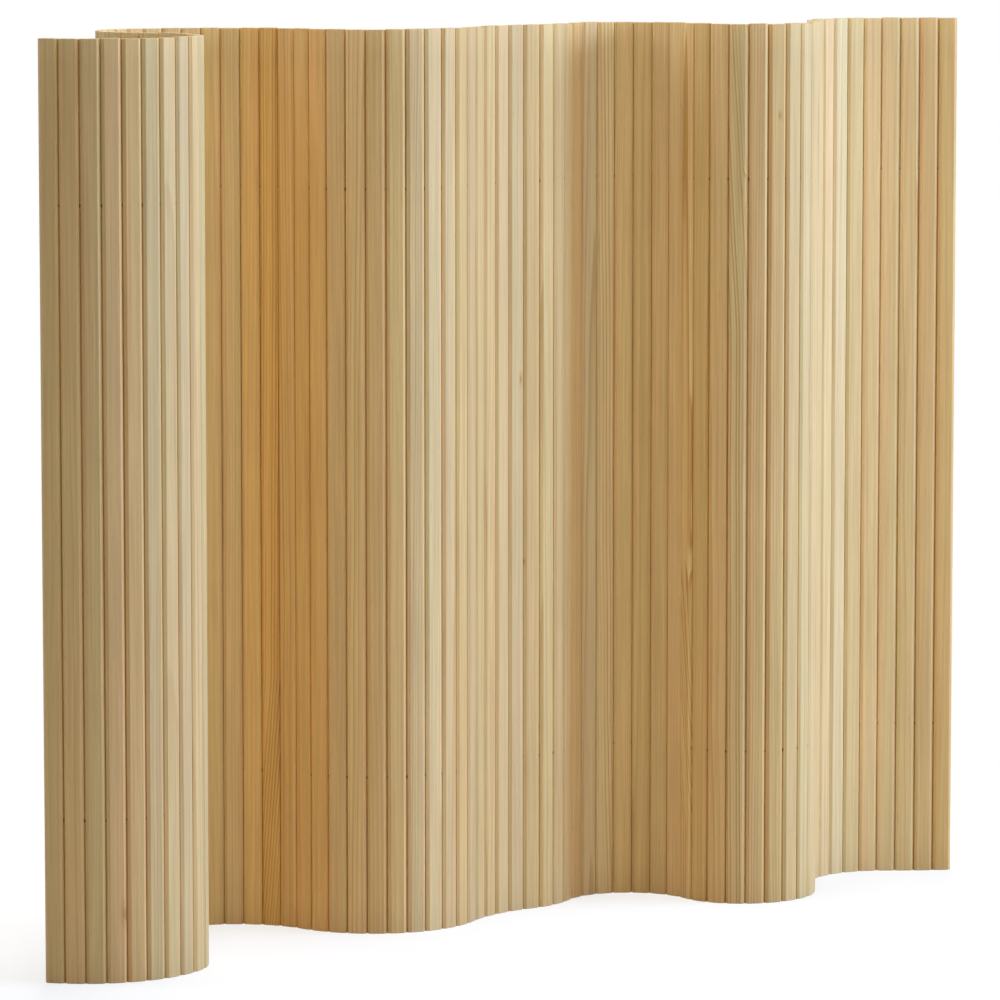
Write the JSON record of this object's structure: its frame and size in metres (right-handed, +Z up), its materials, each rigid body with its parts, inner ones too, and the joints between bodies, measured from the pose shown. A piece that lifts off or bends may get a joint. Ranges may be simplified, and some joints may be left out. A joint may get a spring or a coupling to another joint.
{
  "type": "tambour screen",
  "caption": "Free-standing room screen of upright pine slats threaded on two steel cables, standing in a curl and waves.",
  "frame": {"origin": "on the floor, in the middle of the rectangle that the slats stand in", "axes": "+Z up; +X along the screen, from the curl to its free end; +Y towards its back"},
  "size_m": [1.5226, 1.0526, 1.5],
  "materials": {
    "pine": "bare, sanded pine with a fine straight grain",
    "cable": "stranded steel cable",
    "ferrule": "plain crimped sleeve"
  },
  "bodies": {
    "slats_42_43": {"slats_42_43": "pine", "cable_bottom": "cable", "cable_top": "cable"},
    "slats_01_02": {"slats_01_02": "pine", "stops_curl_end": "ferrule"},
    "slats_03_04": {"slats_03_04": "pine"},
    "slats_05_06": {"slats_05_06": "pine"},
    "slats_07_08": {"slats_07_08": "pine"},
    "slat_09": {"slat_09": "pine"},
    "slat_10": {"slat_10": "pine"},
    "slat_11": {"slat_11": "pine"},
    "slat_12": {"slat_12": "pine"},
    "slat_13": {"slat_13": "pine"},
    "slat_14": {"slat_14": "pine"},
    "slat_15": {"slat_15": "pine"},
    "slat_16": {"slat_16": "pine"},
    "slat_17": {"slat_17": "pine"},
    "slat_18": {"slat_18": "pine"},
    "slat_19": {"slat_19": "pine"},
    "slat_20": {"slat_20": "pine"},
    "slat_21": {"slat_21": "pine"},
    "slat_22": {"slat_22": "pine"},
    "slat_23": {"slat_23": "pine"},
    "slats_24_25": {"slats_24_25": "pine"},
    "slats_26_27": {"slats_26_27": "pine"},
    "slats_28_29": {"slats_28_29": "pine"},
    "slats_30_31": {"slats_30_31": "pine"},
    "slats_32_33": {"slats_32_33": "pine"},
    "slats_34_35": {"slats_34_35": "pine"},
    "slats_36_37": {"slats_36_37": "pine"},
    "slats_38_39": {"slats_38_39": "pine"},
    "slats_40_41": {"slats_40_41": "pine"},
    "slats_44_45": {"slats_44_45": "pine"},
    "slats_46_47": {"slats_46_47": "pine"},
    "slats_48_49": {"slats_48_49": "pine"},
    "slats_50_51": {"slats_50_51": "pine"},
    "slat_52": {"slat_52": "pine"},
    "slat_53": {"slat_53": "pine"},
    "slat_54": {"slat_54": "pine"},
    "slat_55": {"slat_55": "pine"},
    "slat_56": {"slat_56": "pine"},
    "slat_57": {"slat_57": "pine"},
    "slat_58": {"slat_58": "pine"},
    "slat_59": {"slat_59": "pine"},
    "slat_60": {"slat_60": "pine"},
    "slat_61": {"slat_61": "pine"},
    "slat_62": {"slat_62": "pine"},
    "slat_63": {"slat_63": "pine"},
    "slat_64": {"slat_64": "pine"},
    "slat_65": {"slat_65": "pine"},
    "slat_66": {"slat_66": "pine"},
    "slat_67": {"slat_67": "pine"},
    "slat_68": {"slat_68": "pine"},
    "slats_69_70": {"slats_69_70": "pine"},
    "slats_71_72": {"slats_71_72": "pine"},
    "slats_73_74": {"slats_73_74": "pine"},
    "slats_75_76": {"slats_75_76": "pine"},
    "slats_77_78": {"slats_77_78": "pine"},
    "slat_79": {"slat_79": "pine", "stops_free_end": "ferrule"}
  },
  "joints": [
    {"name": "joint_02_03", "type": "hinge", "parent": "slats_03_04", "child": "slats_01_02", "pos_m": [-0.69662, -0.51991, 0.75], "axis": [0, 0, -1], "range_deg": [-38, 18]},
    {"name": "joint_04_05", "type": "hinge", "parent": "slats_05_06", "child": "slats_03_04", "pos_m": [-0.63187, -0.50849, 0.75], "axis": [0, 0, -1], "range_deg": [-38, 18]},
    {"name": "joint_06_07", "type": "hinge", "parent": "slats_07_08", "child": "slats_05_06", "pos_m": [-0.57493, -0.47562, 0.75], "axis": [0, 0, -1], "range_deg": [-38, 18]},
    {"name": "joint_08_09", "type": "hinge", "parent": "slat_09", "child": "slats_07_08", "pos_m": [-0.53267, -0.42525, 0.75], "axis": [0, 0, -1], "range_deg": [-38, 18]},
    {"name": "joint_09_10", "type": "hinge", "parent": "slat_10", "child": "slat_09", "pos_m": [-0.51872, -0.39534, 0.75], "axis": [0, 0, -1], "range_deg": [-45, 11]},
    {"name": "joint_10_11", "type": "hinge", "parent": "slat_11", "child": "slat_10", "pos_m": [-0.51413, -0.36266, 0.75], "axis": [0, 0, -1], "range_deg": [-45, 11]},
    {"name": "joint_11_12", "type": "hinge", "parent": "slat_12", "child": "slat_11", "pos_m": [-0.51929, -0.33007, 0.75], "axis": [0, 0, 1], "range_deg": [-11, 45]},
    {"name": "joint_12_13", "type": "hinge", "parent": "slat_13", "child": "slat_12", "pos_m": [-0.53376, -0.30041, 0.75], "axis": [0, 0, 1], "range_deg": [-11, 45]},
    {"name": "joint_13_14", "type": "hinge", "parent": "slat_14", "child": "slat_13", "pos_m": [-0.55626, -0.27627, 0.75], "axis": [0, 0, 1], "range_deg": [-11, 45]},
    {"name": "joint_14_15", "type": "hinge", "parent": "slat_15", "child": "slat_14", "pos_m": [-0.58484, -0.25977, 0.75], "axis": [0, 0, 1], "range_deg": [-11, 45]},
    {"name": "joint_15_16", "type": "hinge", "parent": "slat_16", "child": "slat_15", "pos_m": [-0.617, -0.25235, 0.75], "axis": [0, 0, 1], "range_deg": [-45, 11]},
    {"name": "joint_16_17", "type": "hinge", "parent": "slat_17", "child": "slat_16", "pos_m": [-0.64558, -0.23585, 0.75], "axis": [0, 0, 1], "range_deg": [-45, 11]},
    {"name": "joint_17_18", "type": "hinge", "parent": "slat_18", "child": "slat_17", "pos_m": [-0.66808, -0.21172, 0.75], "axis": [0, 0, -1], "range_deg": [-11, 45]},
    {"name": "joint_18_19", "type": "hinge", "parent": "slat_19", "child": "slat_18", "pos_m": [-0.68255, -0.18206, 0.75], "axis": [0, 0, -1], "range_deg": [-11, 45]},
    {"name": "joint_19_20", "type": "hinge", "parent": "slat_20", "child": "slat_19", "pos_m": [-0.68771, -0.14946, 0.75], "axis": [0, 0, -1], "range_deg": [-11, 45]},
    {"name": "joint_20_21", "type": "hinge", "parent": "slat_21", "child": "slat_20", "pos_m": [-0.68312, -0.11678, 0.75], "axis": [0, 0, -1], "range_deg": [-13, 43]},
    {"name": "joint_21_22", "type": "hinge", "parent": "slat_22", "child": "slat_21", "pos_m": [-0.67022, -0.08641, 0.75], "axis": [0, 0, -1], "range_deg": [-13, 43]},
    {"name": "joint_22_23", "type": "hinge", "parent": "slat_23", "child": "slat_22", "pos_m": [-0.64991, -0.0604, 0.75], "axis": [0, 0, -1], "range_deg": [-13, 43]},
    {"name": "joint_23_24", "type": "hinge", "parent": "slats_24_25", "child": "slat_23", "pos_m": [-0.62355, -0.04054, 0.75], "axis": [0, 0, 1], "range_deg": [-43, 13]},
    {"name": "joint_25_26", "type": "hinge", "parent": "slats_26_27", "child": "slats_24_25", "pos_m": [-0.56175, -0.01744, 0.75], "axis": [0, 0, 1], "range_deg": [-31, 25]},
    {"name": "joint_27_28", "type": "hinge", "parent": "slats_28_29", "child": "slats_26_27", "pos_m": [-0.49788, -0.00092, 0.75], "axis": [0, 0, 1], "range_deg": [-39, 17]},
    {"name": "joint_29_30", "type": "hinge", "parent": "slats_30_31", "child": "slats_28_29", "pos_m": [-0.4323, -0.00493, 0.75], "axis": [0, 0, 1], "range_deg": [-39, 17]},
    {"name": "joint_31_32", "type": "hinge", "parent": "slats_32_33", "child": "slats_30_31", "pos_m": [-0.37301, -0.03321, 0.75], "axis": [0, 0, 1], "range_deg": [-39, 17]},
    {"name": "joint_33_34", "type": "hinge", "parent": "slats_34_35", "child": "slats_32_33", "pos_m": [-0.3202, -0.07229, 0.75], "axis": [0, 0, 1], "range_deg": [-17, 39]},
    {"name": "joint_35_36", "type": "hinge", "parent": "slats_36_37", "child": "slats_34_35", "pos_m": [-0.25659, -0.08874, 0.75], "axis": [0, 0, -1], "range_deg": [-39, 17]},
    {"name": "joint_37_38", "type": "hinge", "parent": "slats_38_39", "child": "slats_36_37", "pos_m": [-0.19146, -0.08016, 0.75], "axis": [0, 0, -1], "range_deg": [-39, 17]},
    {"name": "joint_39_40", "type": "hinge", "parent": "slats_40_41", "child": "slats_38_39", "pos_m": [-0.13428, -0.04781, 0.75], "axis": [0, 0, -1], "range_deg": [-39, 17]},
    {"name": "joint_41_42", "type": "hinge", "parent": "slats_42_43", "child": "slats_40_41", "pos_m": [-0.09338, 0.0036, 0.75], "axis": [0, 0, -1], "range_deg": [-39, 17], "deforming": ["cable_bottom", "cable_top"]},
    {"name": "joint_43_44", "type": "hinge", "parent": "slats_42_43", "child": "slats_44_45", "pos_m": [-0.06502, 0.06306, 0.75], "axis": [0, 0, 1], "range_deg": [-21, 35]},
    {"name": "joint_45_46", "type": "hinge", "parent": "slats_44_45", "child": "slats_46_47", "pos_m": [-0.02312, 0.11389, 0.75], "axis": [0, 0, 1], "range_deg": [-21, 35]},
    {"name": "joint_47_48", "type": "hinge", "parent": "slats_46_47", "child": "slats_48_49", "pos_m": [0.02984, 0.15308, 0.75], "axis": [0, 0, -1], "range_deg": [-16, 40]},
    {"name": "joint_49_50", "type": "hinge", "parent": "slats_48_49", "child": "slats_50_51", "pos_m": [0.07114, 0.20409, 0.75], "axis": [0, 0, -1], "range_deg": [-16, 40]},
    {"name": "joint_51_52", "type": "hinge", "parent": "slats_50_51", "child": "slat_52", "pos_m": [0.10283, 0.26125, 0.75], "axis": [0, 0, -1], "range_deg": [-44, 12]},
    {"name": "joint_52_53", "type": "hinge", "parent": "slat_52", "child": "slat_53", "pos_m": [0.12918, 0.28111, 0.75], "axis": [0, 0, -1], "range_deg": [-44, 12]},
    {"name": "joint_53_54", "type": "hinge", "parent": "slat_53", "child": "slat_54", "pos_m": [0.15999, 0.29294, 0.75], "axis": [0, 0, -1], "range_deg": [-44, 12]},
    {"name": "joint_54_55", "type": "hinge", "parent": "slat_54", "child": "slat_55", "pos_m": [0.19287, 0.29581, 0.75], "axis": [0, 0, -1], "range_deg": [-44, 12]},
    {"name": "joint_55_56", "type": "hinge", "parent": "slat_55", "child": "slat_56", "pos_m": [0.22526, 0.28952, 0.75], "axis": [0, 0, 1], "range_deg": [-12, 44]},
    {"name": "joint_56_57", "type": "hinge", "parent": "slat_56", "child": "slat_57", "pos_m": [0.25466, 0.27454, 0.75], "axis": [0, 0, 1], "range_deg": [-12, 44]},
    {"name": "joint_57_58", "type": "hinge", "parent": "slat_57", "child": "slat_58", "pos_m": [0.2788, 0.25203, 0.75], "axis": [0, 0, 1], "range_deg": [-12, 44]},
    {"name": "joint_58_59", "type": "hinge", "parent": "slat_58", "child": "slat_59", "pos_m": [0.29579, 0.22374, 0.75], "axis": [0, 0, 1], "range_deg": [-46, 10]},
    {"name": "joint_59_60", "type": "hinge", "parent": "slat_59", "child": "slat_60", "pos_m": [0.3207, 0.20209, 0.75], "axis": [0, 0, 1], "range_deg": [-46, 10]},
    {"name": "joint_60_61", "type": "hinge", "parent": "slat_60", "child": "slat_61", "pos_m": [0.35108, 0.1892, 0.75], "axis": [0, 0, 1], "range_deg": [-46, 10]},
    {"name": "joint_61_62", "type": "hinge", "parent": "slat_61", "child": "slat_62", "pos_m": [0.38395, 0.18632, 0.75], "axis": [0, 0, -1], "range_deg": [-13, 43]},
    {"name": "joint_62_63", "type": "hinge", "parent": "slat_62", "child": "slat_63", "pos_m": [0.41645, 0.19205, 0.75], "axis": [0, 0, -1], "range_deg": [-13, 43]},
    {"name": "joint_63_64", "type": "hinge", "parent": "slat_63", "child": "slat_64", "pos_m": [0.44636, 0.206, 0.75], "axis": [0, 0, -1], "range_deg": [-13, 43]},
    {"name": "joint_64_65", "type": "hinge", "parent": "slat_64", "child": "slat_65", "pos_m": [0.47164, 0.22721, 0.75], "axis": [0, 0, -1], "range_deg": [-13, 43]},
    {"name": "joint_65_66", "type": "hinge", "parent": "slat_65", "child": "slat_66", "pos_m": [0.49057, 0.25424, 0.75], "axis": [0, 0, -1], "range_deg": [-13, 43]},
    {"name": "joint_66_67", "type": "hinge", "parent": "slat_66", "child": "slat_67", "pos_m": [0.50185, 0.28525, 0.75], "axis": [0, 0, -1], "range_deg": [-13, 43]},
    {"name": "joint_67_68", "type": "hinge", "parent": "slat_67", "child": "slat_68", "pos_m": [0.50473, 0.31813, 0.75], "axis": [0, 0, 1], "range_deg": [-43, 13]},
    {"name": "joint_68_69", "type": "hinge", "parent": "slat_68", "child": "slats_69_70", "pos_m": [0.499, 0.35063, 0.75], "axis": [0, 0, 1], "range_deg": [-18, 38]},
    {"name": "joint_70_71", "type": "hinge", "parent": "slats_69_70", "child": "slats_71_72", "pos_m": [0.50642, 0.41578, 0.75], "axis": [0, 0, 1], "range_deg": [-15, 41]},
    {"name": "joint_72_73", "type": "hinge", "parent": "slats_71_72", "child": "slats_73_74", "pos_m": [0.54165, 0.47109, 0.75], "axis": [0, 0, 1], "range_deg": [-15, 41]},
    {"name": "joint_74_75", "type": "hinge", "parent": "slats_73_74", "child": "slats_75_76", "pos_m": [0.59757, 0.50535, 0.75], "axis": [0, 0, 1], "range_deg": [-15, 41]},
    {"name": "joint_76_77", "type": "hinge", "parent": "slats_75_76", "child": "slats_77_78", "pos_m": [0.66284, 0.51164, 0.75], "axis": [0, 0, 1], "range_deg": [-31, 25]},
    {"name": "joint_78_79", "type": "hinge", "parent": "slats_77_78", "child": "slat_79", "pos_m": [0.7287, 0.51566, 0.75], "axis": [0, 0, -1], "range_deg": [-25, 31]}
  ]
}
